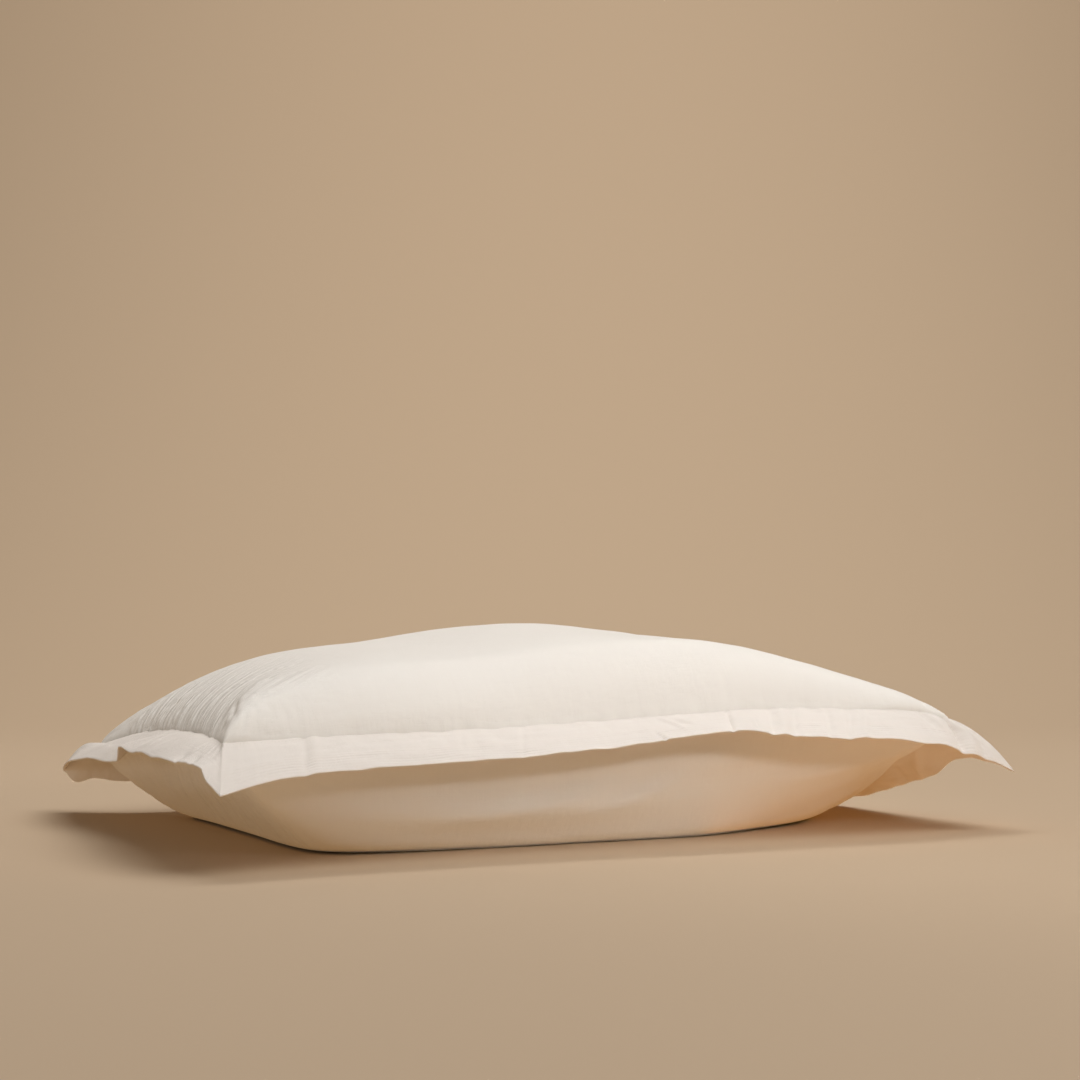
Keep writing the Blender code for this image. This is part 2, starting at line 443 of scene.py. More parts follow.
@dataclass(frozen=True)
class BagForm:
    """The shape that the bag and its border take, as points in the maker's frame."""

    border_width: float = 5.0
    shoulder: float = 2.0
    top_fall: Triple = (0.56, 0.70, 0.55)
    back_fall: Triple = (0.53, 0.31, 0.40)
    ridge: float = 3.5
    corner_ridge: float = 4.5
    ridge_reach: float = 7.0
    seam_ease: Triple = (0.006, 0.020, 0.015)
    press: float = 1.2
    seam_pull: float = 0.04
    seam_lift: float = 0.035
    seam_seed: int = 40
    seam_grip: float = 0.85
    mitre_hold: float = 0.3
    half_size: Pair = (35.0, 23.0)

    def seam(self, edge: Edge, share: Array) -> Array:
        """Lay out the seam on a side's drawn-in line.

        Args:
            edge: The side.
            share: Shares of the side.

        Returns:
            The seam's points.
        """
        side = SIDES[edge]
        start, end = seam_ends(edge)
        points = start + share[..., None] * (end - start)
        pull = side.draw_in * np.clip(4.0 * share * (1.0 - share), 0.0, 1.0)
        points = points - pull[..., None] * side.away()
        points[..., 2] = through(side.stations, share, "height")
        return points

    def puckering(self, edge: Edge, share: Array) -> Array:
        """Shift a seam that its stitches have drawn up out of its smooth line.

        Args:
            edge: The side.
            share: Shares of the side.

        Returns:
            The small shifts there.
        """
        along = share * seam_length(edge)
        hold = np.clip(8.0 * share * (1.0 - share), 0.0, 1.0)
        seed = self.seam_seed + list(Edge).index(edge)
        pull = self.seam_pull * hold * Tremor(seed, 1.6, 6.0).along(along)
        lift = self.seam_lift * hold * Tremor(seed + 4, 1.8, 7.0).along(along)
        return pull[..., None] * SIDES[edge].away() + lift[..., None] * UP

    def corner_pull(self, edge: Edge, share: Array) -> tuple[Array, Array]:
        """Tell how much of each corner's tip is in the border.

        Args:
            edge: The side.
            share: Shares of the side.

        Returns:
            The start's part and the end's part, from 0 to 1.
        """
        reach = SIDES[edge].reach
        at_start = np.clip(1.0 - share / reach, 0.0, 1.0) ** 2
        at_end = np.clip(1.0 - (1.0 - share) / reach, 0.0, 1.0) ** 2
        return at_start, at_end

    def border(self, edge: Edge, share: Array, across: Array) -> Array:
        """Lay out the middle of a strip's cloth.

        Args:
            edge: The strip's side.
            share: Shares of the side.
            across: Shares of the way from the seam, at 0, to the free edge, at 1.

        Returns:
            The strip's points.
        """
        side = SIDES[edge]
        start, end = CORNERS[side.start], CORNERS[side.end]
        droop = np.radians(through(side.stations, share, "droop"))
        level, down = np.cos(droop)[..., None], np.sin(droop)[..., None]
        fall = self.border_width * (level * side.away() - down * UP)
        at_start, at_end = self.corner_pull(edge, share)
        free = 1.0 - at_start - at_end
        fall = free[..., None] * fall
        fall = fall + at_start[..., None] * np.array(start.tip) + at_end[..., None] * np.array(end.tip)
        arch = free * side.arch + at_start * start.arch + at_end * end.arch
        lift = arch * 4.0 * across * (1.0 - across)
        points = self.seam(edge, share) + across[..., None] * fall
        points += (1.0 - self.seam_grip * across)[..., None] * self.puckering(edge, share)
        points[..., 2] += lift + across * across * self.buckling(edge, share, across)
        return points

    def buckling(self, edge: Edge, share: Array, across: Array) -> Array:
        """Lift a strip in its puckers and tucks.

        Args:
            edge: The strip's side.
            share: Shares of the side.
            across: Shares of the way from the seam to the free edge.

        Returns:
            How far the free edge lifts there.
        """
        side = SIDES[edge]
        length = seam_length(edge)
        lift = np.zeros_like(share)
        for pucker in side.puckers:
            away = (share - pucker.share) * length / pucker.half_width
            lift = lift + pucker.lift * np.exp(-away * away)
        for tuck in side.tucks:
            lift = lift + tuck.lift((share - tuck.share) * length, across)
        from_corner = np.minimum(share, 1.0 - share) * length
        return lift * (1.0 - np.exp(-((from_corner / self.mitre_hold) ** 2)))

    def membrane(self, u: Array, v: Array) -> Array:
        """Span the seam with a sheet stretched flat.

        Args:
            u: Shares of the half length, from -1 to 1.
            v: Shares of the half width, from -1 to 1.

        Returns:
            The sheet's points.
        """
        s, t = (u + 1.0) / 2.0, (v + 1.0) / 2.0
        near, far = self.seam(Edge.FRONT, s), self.seam(Edge.BACK, 1.0 - s)
        left, right = self.seam(Edge.LEFT, 1.0 - t), self.seam(Edge.RIGHT, t)
        s, t = s[..., None], t[..., None]
        hubs = {name: np.array(corner.seam) for name, corner in CORNERS.items()}
        low = hubs["near_left"] * (1.0 - s) + hubs["near_right"] * s
        high = hubs["far_left"] * (1.0 - s) + hubs["far_right"] * s
        ends = near * (1.0 - t) + far * t + left * (1.0 - s) + right * s
        return ends - (low * (1.0 - t) + high * t)

    def fullness(self, u: Array, v: Array, fall: Triple) -> Array:
        """Tell how full a panel stands.

        Args:
            u: Shares of the half length, from -1 to 1.
            v: Shares of the half width, from -1 to 1.
            fall: How bluntly it falls to the left, to the right and to the long sides.

        Returns:
            The fullness, from 0 at the seam to 1 in the middle.
        """
        left, right, side = fall
        ease_left, ease_right, ease_side = self.seam_ease
        along = self.rise(u, np.where(u < 0.0, left, right), np.where(u < 0.0, ease_left, ease_right))
        across = self.rise(v, side, ease_side)
        half_length, half_width = self.half_size
        inland = np.hypot((1.0 - np.abs(u)) * half_length, (1.0 - np.abs(v)) * half_width)
        sharp = self.ridge + self.corner_ridge * np.exp(-((inland / self.ridge_reach) ** 2))
        return (2.0 / (along ** -sharp + across ** -sharp)) ** (1.0 / sharp)

    def rise(self, share: Array, fall: Array | float, softness: Array | float) -> Array:
        """A panel's rise from its seams, which leaves them at a slope rather than upright."""
        room = np.clip(1.0 - np.abs(share) ** self.shoulder, 0.0, 1.0)
        lowest, highest = softness ** fall, (1.0 + softness) ** fall
        return np.clip(((room + softness) ** fall - lowest) / (highest - lowest), 1e-6, 1.0)

    def pressed(self, height: Array) -> Array:
        """Heights as the surface below leaves them, with a soft turn on to the flat base."""
        turned = (np.clip(height, -self.press, self.press) + self.press) ** 2 / (4.0 * self.press)
        return np.where(height >= self.press, height, turned)

    def panel(self, face: Face, u: Array, v: Array) -> Array:
        """Lay out the crowned top panel, or the back panel that lies pressed flat.

        Args:
            face: The panel.
            u: Shares of the half length, from -1 to 1.
            v: Shares of the half width, from -1 to 1.

        Returns:
            The panel's points.
        """
        points = self.membrane(u, v)
        if face is Face.TOP:
            points[..., 2] += through(SECTIONS, u, "crown") * self.fullness(u, v, self.top_fall)
        else:
            depth = through(SECTIONS, u, "depth") * self.fullness(u, v, self.back_fall)
            points[..., 2] = self.pressed(points[..., 2] - depth)
        return points


@dataclass(frozen=True)
class Placing:
    """Where the maker's frame stands in the row's frame."""

    shift: Triple

    @classmethod
    def from_frame(cls) -> "Placing":
        """Match the bag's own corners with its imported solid's box.

        Returns:
            The placing, whose shift is in metres.
        """
        low, _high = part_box("filled_bag")
        seam_low = [min(corner.seam[axis] for corner in CORNERS.values()) * CM for axis in (0, 1)]
        return cls((low[0] - seam_low[0], low[1] - seam_low[1], 0.0))

    def metres(self, points: Array) -> Array:
        """Turn the maker's centimetres into metres in the row's frame."""
        return points * CM + np.array(self.shift)


# --------------------------------------------------------------------------------- shader desk


class Wire:
    """A shader value that takes part in Python sums."""

    def __init__(self, desk: "ShaderDesk", socket: bpy.types.NodeSocket) -> None:
        """Wrap a socket of a node tree."""
        self.desk = desk
        self.socket = socket

    def _math(self, operation: str, *values: "Wire | float") -> "Wire":
        """Add a Math node for an operation."""
        return self.desk.node("ShaderNodeMath", {"operation": operation}, dict(enumerate(values)))

    def __add__(self, other: "Wire | float") -> "Wire":
        """Add."""
        return self._math("ADD", self, other)

    def __sub__(self, other: "Wire | float") -> "Wire":
        """Subtract."""
        return self._math("SUBTRACT", self, other)

    def __rsub__(self, other: float) -> "Wire":
        """Subtract from a number."""
        return self._math("SUBTRACT", other, self)

    def __mul__(self, other: "Wire | float") -> "Wire":
        """Multiply."""
        return self._math("MULTIPLY", self, other)

    __radd__ = __add__
    __rmul__ = __mul__

    def sine(self) -> "Wire":
        """Take the sine."""
        return self._math("SINE", self)

    def size(self) -> "Wire":
        """Take the absolute value."""
        return self._math("ABSOLUTE", self)

    def high(self, other: "Wire | float") -> "Wire":
        """Take the larger of two values."""
        return self._math("MAXIMUM", self, other)

    def low(self, other: "Wire | float") -> "Wire":
        """Take the smaller of two values."""
        return self._math("MINIMUM", self, other)


class ShaderDesk:
    """Builds one material's nodes."""

    def __init__(self, name: str) -> None:
        """Start a material with a Principled shader.

        Args:
            name: The material's name.
        """
        self.material = bpy.data.materials.new(name)
        self.material.use_nodes = True
        self.tree = self.material.node_tree
        self.shader = self.tree.nodes["Principled BSDF"]

    def node(self, kind: str, settings: dict, inputs: dict, output: int | str = 0) -> Wire:
        """Add a node.

        Args:
            kind: The node's type.
            settings: Its settings, set before its sockets.
            inputs: Values or wires for its sockets, by name or number.
            output: The output that is wanted.

        Returns:
            That output as a wire.
        """
        made = self.tree.nodes.new(kind)
        for key, value in settings.items():
            setattr(made, key, value)
        for key, value in inputs.items():
            self.feed(made.inputs[key], value)
        return Wire(self, made.outputs[output])

    def feed(self, socket: bpy.types.NodeSocket, value: Wire | float | tuple) -> None:
        """Give a socket its value.

        Args:
            socket: The socket.
            value: A wire to link to it, or a fixed value.
        """
        if isinstance(value, Wire):
            self.tree.links.new(value.socket, socket)
        else:
            socket.default_value = value

    def noise(self, place: Wire, scale: float, detail: float = 3.0) -> Wire:
        """Smooth noise between 0 and 1."""
        inputs = {"Vector": place, "Scale": scale, "Detail": detail}
        return self.node("ShaderNodeTexNoise", {}, inputs, "Fac")

    def stretched(self, place: Wire, scale: Triple, turn: float = 0.0) -> Wire:
        """Scale and turn a place, so that a pattern on it becomes streaks."""
        inputs = {"Vector": place, "Scale": scale, "Rotation": (0.0, 0.0, turn)}
        return self.node("ShaderNodeMapping", {}, inputs)

    def mix(self, share: Wire, low: Wire | tuple, high: Wire | tuple) -> Wire:
        """Blend two colours.

        Args:
            share: How much of the second colour is in the blend.
            low: The first colour.
            high: The second colour.

        Returns:
            The blend.
        """
        made = self.tree.nodes.new("ShaderNodeMix")
        made.data_type = "RGBA"
        for key, value in (("Factor_Float", share), ("A_Color", low), ("B_Color", high)):
            self.feed(next(s for s in made.inputs if s.identifier == key), value)
        return Wire(self, next(s for s in made.outputs if s.identifier == "Result_Color"))

    def bump(
        self, height: Wire, depth: float, below: Wire | None = None, strength: Wire | float = 1.0
    ) -> Wire:
        """Raise a height over normals.

        Args:
            height: The height, from 0 to 1.
            depth: How far a height of 1 stands up, in metres.
            below: The normals to raise it over, if they aren't the mesh's own.
            strength: How much of it shows.

        Returns:
            The new normals.
        """
        inputs = {"Strength": strength, "Distance": depth, "Height": height}
        if below is not None:
            inputs["Normal"] = below
        return self.node("ShaderNodeBump", {}, inputs, "Normal")

    def finish(self, inputs: dict) -> bpy.types.Material:
        """Feed the Principled shader.

        Args:
            inputs: Values or wires for its sockets, by name.

        Returns:
            The finished material.
        """
        for name, value in inputs.items():
            self.feed(self.shader.inputs[name], value)
        return self.material


# ------------------------------------------------------------------------------------ finishes


@dataclass(frozen=True)
class Streaks:
    """Fine drawn-up lines that run inwards from one end of the cloth and fade away from it."""

    begin: float = -0.220
    fade: float = 0.07
    near_side: float = -0.195
    near_fade: float = 0.03
    far_side: float = 0.19
    far_fade: float = 0.12
    scale: Triple = (4.5, 150.0, 1.0)
    turn: float = -0.72
    depth: float = 0.0042

    def lay(self, desk: ShaderDesk, cloth: Wire, along: Wire, across: Wire, below: Wire) -> Wire:
        """Lay the lines over the normals below them.

        Args:
            desk: The material's desk.
            cloth: The cloth map.
            along: Its place along the cloth, which falls towards the end with the lines.
            across: Its place across the cloth, which falls towards the near side.
            below: The normals so far.

        Returns:
            The normals with the lines.
        """
        turned = desk.stretched(cloth, (1.0, 1.0, 1.0), self.turn)
        lines = desk.noise(desk.stretched(turned, self.scale), 1.0, 3.0)
        at_end = ((self.begin - along) * (1.0 / self.fade)).high(0.0).low(1.0)
        share = at_end * ((across - self.near_side) * (1.0 / self.near_fade)).high(0.0).low(1.0)
        share = share * ((self.far_side - across) * (1.0 / self.far_fade)).high(0.0).low(1.0)
        return desk.bump(lines, self.depth, below, share)


@dataclass(frozen=True)
class WovenCotton:
    """Plain-woven cotton that has been washed, pressed and slept on."""

    name: str
    colour: Triple
    hollow_colour: Triple
    roughness: float = 0.72
    sheen: float = 0.12
    thread_pitch: float = 0.00042
    weave_depth: float = 0.00006
    slub_depth: float = 0.00008
    slub_scales: Pair = (18.0, 900.0)
    cloud_scale: float = 14.0
    tint: float = 0.35
    crease_depth: float = 0.0008
    sheen_roughness: float = 0.45
    gloss: float = 0.32
    streaks: Streaks | None = None

    def make(self) -> bpy.types.Material:
        """Build the material.

        Returns:
            The finished material, whose weave follows the UV map named Weave, in metres.
        """
        desk = ShaderDesk(self.name)
        cloth = desk.node("ShaderNodeUVMap", {"uv_map": "Weave"}, {})
        split = desk.node("ShaderNodeSeparateXYZ", {}, {"Vector": cloth}, "X")
        across = Wire(desk, split.socket.node.outputs["Y"])
        turn = math.pi / self.thread_pitch
        warp, weft = (split * turn).sine(), (across * turn).sine()
        weave = (warp * weft).size().high((1.0 - warp.size()) * 0.5)
        coarse, fine = self.slub_scales
        slub_along = desk.noise(desk.stretched(cloth, (coarse, fine, 1.0)), 1.0, 2.0)
        slub_across = desk.noise(desk.stretched(cloth, (fine, coarse, 1.0)), 1.0, 2.0)
        slubs = slub_along + slub_across
        threads = slubs * self.tint + desk.noise(cloth, self.cloud_scale, 3.0) * self.tint
        bumped = desk.bump(slubs, self.slub_depth)
        if self.streaks is not None:
            bumped = self.streaks.lay(desk, cloth, split, across, bumped)
        bumped = desk.bump(self.crumple(desk, cloth), self.crease_depth, bumped)
        return desk.finish({
            "Base Color": desk.mix(threads, (*self.hollow_colour, 1.0), (*self.colour, 1.0)),
            "Roughness": self.roughness - 0.08 + slubs * 0.08,
            "Normal": desk.bump(weave, self.weave_depth, bumped),
            "Sheen Weight": self.sheen,
            "Sheen Roughness": self.sheen_roughness,
            "Specular IOR Level": self.gloss,
        })

    def crumple(self, desk: ShaderDesk, cloth: Wire) -> Wire:
        """Add the faint creases that washing and folding leave.

        Args:
            desk: The material's desk.
            cloth: The cloth map.

        Returns:
            Their height, between 0 and 1.
        """
        broad = desk.noise(desk.stretched(cloth, (30.0, 55.0, 1.0), 0.5), 1.0, 4.0)
        sharp = desk.noise(desk.stretched(cloth, (70.0, 28.0, 1.0), -0.3), 1.0, 4.0)
        return (broad - 0.5).size() + (sharp - 0.5).size() * 0.7


@dataclass(frozen=True)
class SewingThread:
    """Spun cotton thread, a little brighter than the cloth."""

    name: str = "sewing_thread"
    colour: Triple = (0.83, 0.79, 0.72)
    roughness: float = 0.6
    twist: float = 900.0
    ply_depth: float = 0.0001
    sheen: float = 0.1

    def make(self) -> bpy.types.Material:
        """Build the material.

        Returns:
            The finished material, whose plies follow the thread's own place.
        """
        desk = ShaderDesk(self.name)
        place = desk.node("ShaderNodeTexCoord", {}, {}, "Object")
        plies = desk.noise(desk.stretched(place, (self.twist,) * 3, 0.7), 1.0, 2.0)
        shade = tuple(0.9 * part for part in self.colour)
        return desk.finish({
            "Base Color": desk.mix(plies, (*shade, 1.0), (*self.colour, 1.0)),
            "Roughness": self.roughness - 0.05 + plies * 0.1,
            "Normal": desk.bump(plies, self.ply_depth, strength=0.5),
            "Sheen Weight": self.sheen,
        })


# --------------------------------------------------------------------------------------- pieces


def sew_mesh(name: str, points: Array, faces: list, weave: Array | None = None) -> bpy.types.Object:
    """Make a smooth object from points in metres, with an optional cloth map.

    Args:
        name: The object's name.
        points: Its points, one row each.
        faces: Its faces as rows of point numbers.
        weave: The cloth map's place of each point, in metres, if it has one.

    Returns:
        The object, linked to the scene.
    """
    mesh = bpy.data.meshes.new(name)
    mesh.from_pydata(points.tolist(), [], faces)
    if weave is not None:
        layer = mesh.uv_layers.new(name="Weave")
        corners = np.empty(len(mesh.loops), dtype=np.int64)
        mesh.loops.foreach_get("vertex_index", corners)
        layer.data.foreach_set("uv", weave[corners].ravel())
    mesh.shade_smooth()
    mesh.set_sharp_from_angle(angle=math.radians(SHARP_ANGLE))
    mesh.update()
    piece = bpy.data.objects.new(name, mesh)
    bpy.context.scene.collection.objects.link(piece)
    return piece


def lattice(numbers: Array, flip: bool = False) -> list:
    """Join neighbouring points of a grid with four-sided faces.

    Args:
        numbers: The grid's point numbers.
        flip: Whether the faces look the other way.

    Returns:
        The faces as rows of point numbers.
    """
    a, b, c, d = numbers[:-1, :-1], numbers[1:, :-1], numbers[1:, 1:], numbers[:-1, 1:]
    order = (a, d, c, b) if flip else (a, b, c, d)
    return np.stack(order, axis=-1).reshape(-1, 4).tolist()


@dataclass
class FilledBag:
    """The top and back panels, sewn round their pillow."""

    form: BagForm
    placing: Placing
    cells: tuple[int, int] = (270, 180)
    crowding: float = 0.55
    hem_ramp: float = 0.35
    seam_hold: float = 1.1
    free_height: Pair = (0.05, 1.2)
    lump_seed: int = 71
    lump_height: float = 0.07
    lump_lengths: Pair = (11.0, 24.0)
    ripple_height: float = 0.012
    ripple_lengths: Pair = (3.0, 7.0)
    top_gathers: dict[Edge, tuple[Gathers, ...]] = field(default_factory=lambda: {
        Edge.FRONT: (Gathers(3, 1.5, 0.045, 1.1), Gathers(5, 4.4, 0.05, 3.0)),
        Edge.RIGHT: (Gathers(11, 1.3, 0.12, 2.2), Gathers(13, 3.0, 0.16, 4.5)),
        Edge.BACK: (Gathers(17, 1.5, 0.07, 1.8), Gathers(19, 3.8, 0.10, 3.8)),
        Edge.LEFT: (
            Gathers(23, 1.15, 0.10, 8.0, -0.8, stop=22.0), Gathers(29, 2.9, 0.13, 8.0, -0.8, stop=22.0)),
    })
    back_gathers: dict[Edge, tuple[Gathers, ...]] = field(default_factory=lambda: {
        Edge.FRONT: (Gathers(31, 1.6, 0.10, 1.6), Gathers(33, 3.6, 0.14, 3.4)),
        Edge.RIGHT: (Gathers(37, 1.4, 0.12, 2.4), Gathers(39, 3.2, 0.18, 4.5)),
        Edge.BACK: (Gathers(41, 1.6, 0.12, 1.8), Gathers(43, 3.5, 0.16, 3.6)),
        Edge.LEFT: (Gathers(47, 1.1, 0.10, 5.0), Gathers(49, 2.6, 0.16, 7.0)),
    })
    top_folds: tuple[Fold, ...] = (
        *folded(Edge.FRONT,
            (10.9, 0.2, 11.3, 3.8, 0.22, -0.07), (-16.0, 0.3, -15.9, 1.3, 0.16, -0.07),
            (17.0, 0.2, 17.4, 2.2, 0.25, -0.05), (-30.0, 1.2, -12.0, 2.2, 0.9, 0.05)),
        *folded(Edge.LEFT,
            (-22.3, 1.2, -13.5, 7.6, 1.5, 0.38), (-21.2, 2.0, -17.2, 3.7, 0.32, -0.24),
            (-15.5, 3.4, -14.0, 8.0, 0.40, -0.14)),
    )
    back_folds: tuple[Fold, ...] = (
        *folded(Edge.FRONT,
            (-25.0, 6.6, 9.0, 7.2, 1.6, 0.75, 0.4), (-17.0, 7.6, 2.0, 5.6, 0.7, 0.20, 0.2),
            (1.0, 7.2, 14.0, 3.4, 0.8, 0.34, -0.2), (-14.0, 6.2, 0.0, 5.0, 0.5, -0.14, 0.2),
            (-3.0, 6.8, 13.0, 4.0, 0.5, -0.18, 0.2), (0.0, 4.4, 7.0, 3.6, 0.4, 0.12, 0.1),
            (5.0, 3.6, 15.0, 2.6, 0.5, 0.16, 0.2), (9.0, 5.2, 17.0, 3.4, 0.5, 0.18, 0.2),
            (18.0, 7.0, 31.0, 4.6, 1.0, 0.20, 0.2)),
        *folded(Edge.RIGHT, (-16.0, 3.6, 8.0, 5.4, 1.4, 0.26, 0.4)),
        *folded(Edge.BACK, (-20.0, 5.0, 6.0, 7.0, 1.4, 0.28, 0.4)),
        *folded(Edge.LEFT, (-12.0, 5.0, 12.0, 6.4, 1.4, 0.22, 0.3)),
    )
    drags: tuple[CornerDrag, ...] = (
        CornerDrag("near_left", 7.0, 6.0, 0.12, 61),
        CornerDrag("near_right", 9.0, 8.0, 0.16, 62),
        CornerDrag("far_right", 8.0, 8.0, 0.15, 63),
        CornerDrag("far_left", 8.0, 7.0, 0.15, 64),
    )

    def shares(self, count: int) -> Array:
        """Shares from -1 to 1 that crowd a little towards both ends."""
        even = np.linspace(-1.0, 1.0, count + 1)
        return self.crowding * np.sin(math.pi * even / 2.0) + (1.0 - self.crowding) * even

    def seam_places(self, points: Array) -> dict[Edge, tuple[Array, Array]]:
        """Find every point's place beside each seam.

        Args:
            points: A panel's grid of points.

        Returns:
            For each side, the distances along its seam and away from it over the cloth.
        """
        across = np.linalg.norm(np.diff(points, axis=1), axis=-1).cumsum(axis=1)
        along = np.linalg.norm(np.diff(points, axis=0), axis=-1).cumsum(axis=0)
        across = np.pad(across, ((0, 0), (1, 0)))
        along = np.pad(along, ((1, 0), (0, 0)))
        x, y = points[..., 0], points[..., 1]
        return {
            Edge.FRONT: (x, across),
            Edge.BACK: (x, across[:, -1:] - across),
            Edge.LEFT: (y, along),
            Edge.RIGHT: (y, along[-1:, :] - along),
        }

    def relief(self, face: Face, points: Array) -> Array:
        """Raise a smooth panel's cloth in folds.

        Args:
            face: The panel.
            points: Its grid of points.

        Returns:
            The cloth's height at each of them.
        """
        places = self.seam_places(points)
        gathers, folds = self.back_gathers, self.back_folds
        if face is Face.TOP:
            gathers, folds = self.top_gathers, self.top_folds
        x, y = points[..., 0], points[..., 1]
        height = sum(g.relief(*places[edge]) for edge, made in gathers.items() for g in made)
        height += sum(fold.relief(*places[fold.edge]) for fold in folds)
        height += sum(drag.relief(x, y) for drag in self.drags)
        seed = self.lump_seed if face is Face.TOP else self.lump_seed + 1
        lumps, ripples = Tremor(seed, *self.lump_lengths, 14), Tremor(seed + 2, *self.ripple_lengths, 16)
        height += self.lump_height * lumps.over(x, y) + self.ripple_height * ripples.over(x, y)
        nearest = np.minimum.reduce([away for _along, away in places.values()])
        return height * ease(nearest, 0.0, self.hem_ramp)

    def panel(self, face: Face, u: Array, v: Array) -> Array:
        """Lay out a creased panel.

        Args:
            face: The panel.
            u: Shares of the half length, from -1 to 1.
            v: Shares of the half width, from -1 to 1.

        Returns:
            Its points, in centimetres.
        """
        points = self.form.panel(face, u, v)
        normals = surface_normals(points) * (1.0 if face is Face.TOP else -1.0)
        height = self.relief(face, points)
        if face is Face.BACK:
            height *= ease(points[..., 2], *self.free_height)
        creased = points + normals * height[..., None] + self.drawn_up(u, v, points)
        creased[..., 2] = np.maximum(creased[..., 2], 0.0)
        return creased

    def drawn_up(self, u: Array, v: Array, points: Array) -> Array:
        """Shift the cloth beside the puckered seams.

        Args:
            u: Shares of the half length, from -1 to 1.
            v: Shares of the half width, from -1 to 1.
            points: The panel's points there.

        Returns:
            The shift of each point.
        """
        along, across = (u + 1.0) / 2.0, (v + 1.0) / 2.0
        shares = {
            Edge.FRONT: along, Edge.RIGHT: across, Edge.BACK: 1.0 - along, Edge.LEFT: 1.0 - across}
        shift = np.zeros_like(points)
        for edge, (_along, away) in self.seam_places(points).items():
            fade = np.exp(-((away / self.seam_hold) ** 2))
            shift += fade[..., None] * self.form.puckering(edge, shares[edge])
        return shift

    def cloth_map(self, points: Array) -> Array:
        """Lay a panel's cloth out flat.

        Args:
            points: The panel's grid of points.

        Returns:
            Each point's place along and across the cloth, in metres from its middle.
        """
        places = self.seam_places(points)
        along, across = places[Edge.LEFT][1], places[Edge.FRONT][1]
        along = along - along[points.shape[0] // 2, :]
        across = across - across[:, points.shape[1] // 2][:, None]
        return np.stack((along, across), axis=-1) * CM

    def build(self, cotton: bpy.types.Material) -> bpy.types.Object:
        """Sew both panels together and dress them.

        Args:
            cotton: The cloth's material.

        Returns:
            The bag.
        """
        u, v = np.meshgrid(self.shares(self.cells[0]), self.shares(self.cells[1]), indexing="ij")
        top, back = self.panel(Face.TOP, u, v), self.panel(Face.BACK, u, v)
        inner = (slice(1, -1), slice(1, -1))
        top_numbers = np.arange(u.size).reshape(u.shape)
        back_numbers = top_numbers.copy()
        back_numbers[inner] = u.size + np.arange(u[inner].size).reshape(u[inner].shape)
        points = np.concatenate((top.reshape(-1, 3), back[inner].reshape(-1, 3)))
        weave = np.concatenate((
            self.cloth_map(top).reshape(-1, 2), self.cloth_map(back)[inner].reshape(-1, 2)))
        faces = lattice(top_numbers) + lattice(back_numbers, flip=True)
        bag = sew_mesh("filled_bag_cloth", self.placing.metres(points), faces, weave)
        bag.data.materials.append(cotton)
        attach(bag, "root")
        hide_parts("filled_bag")
        return bag


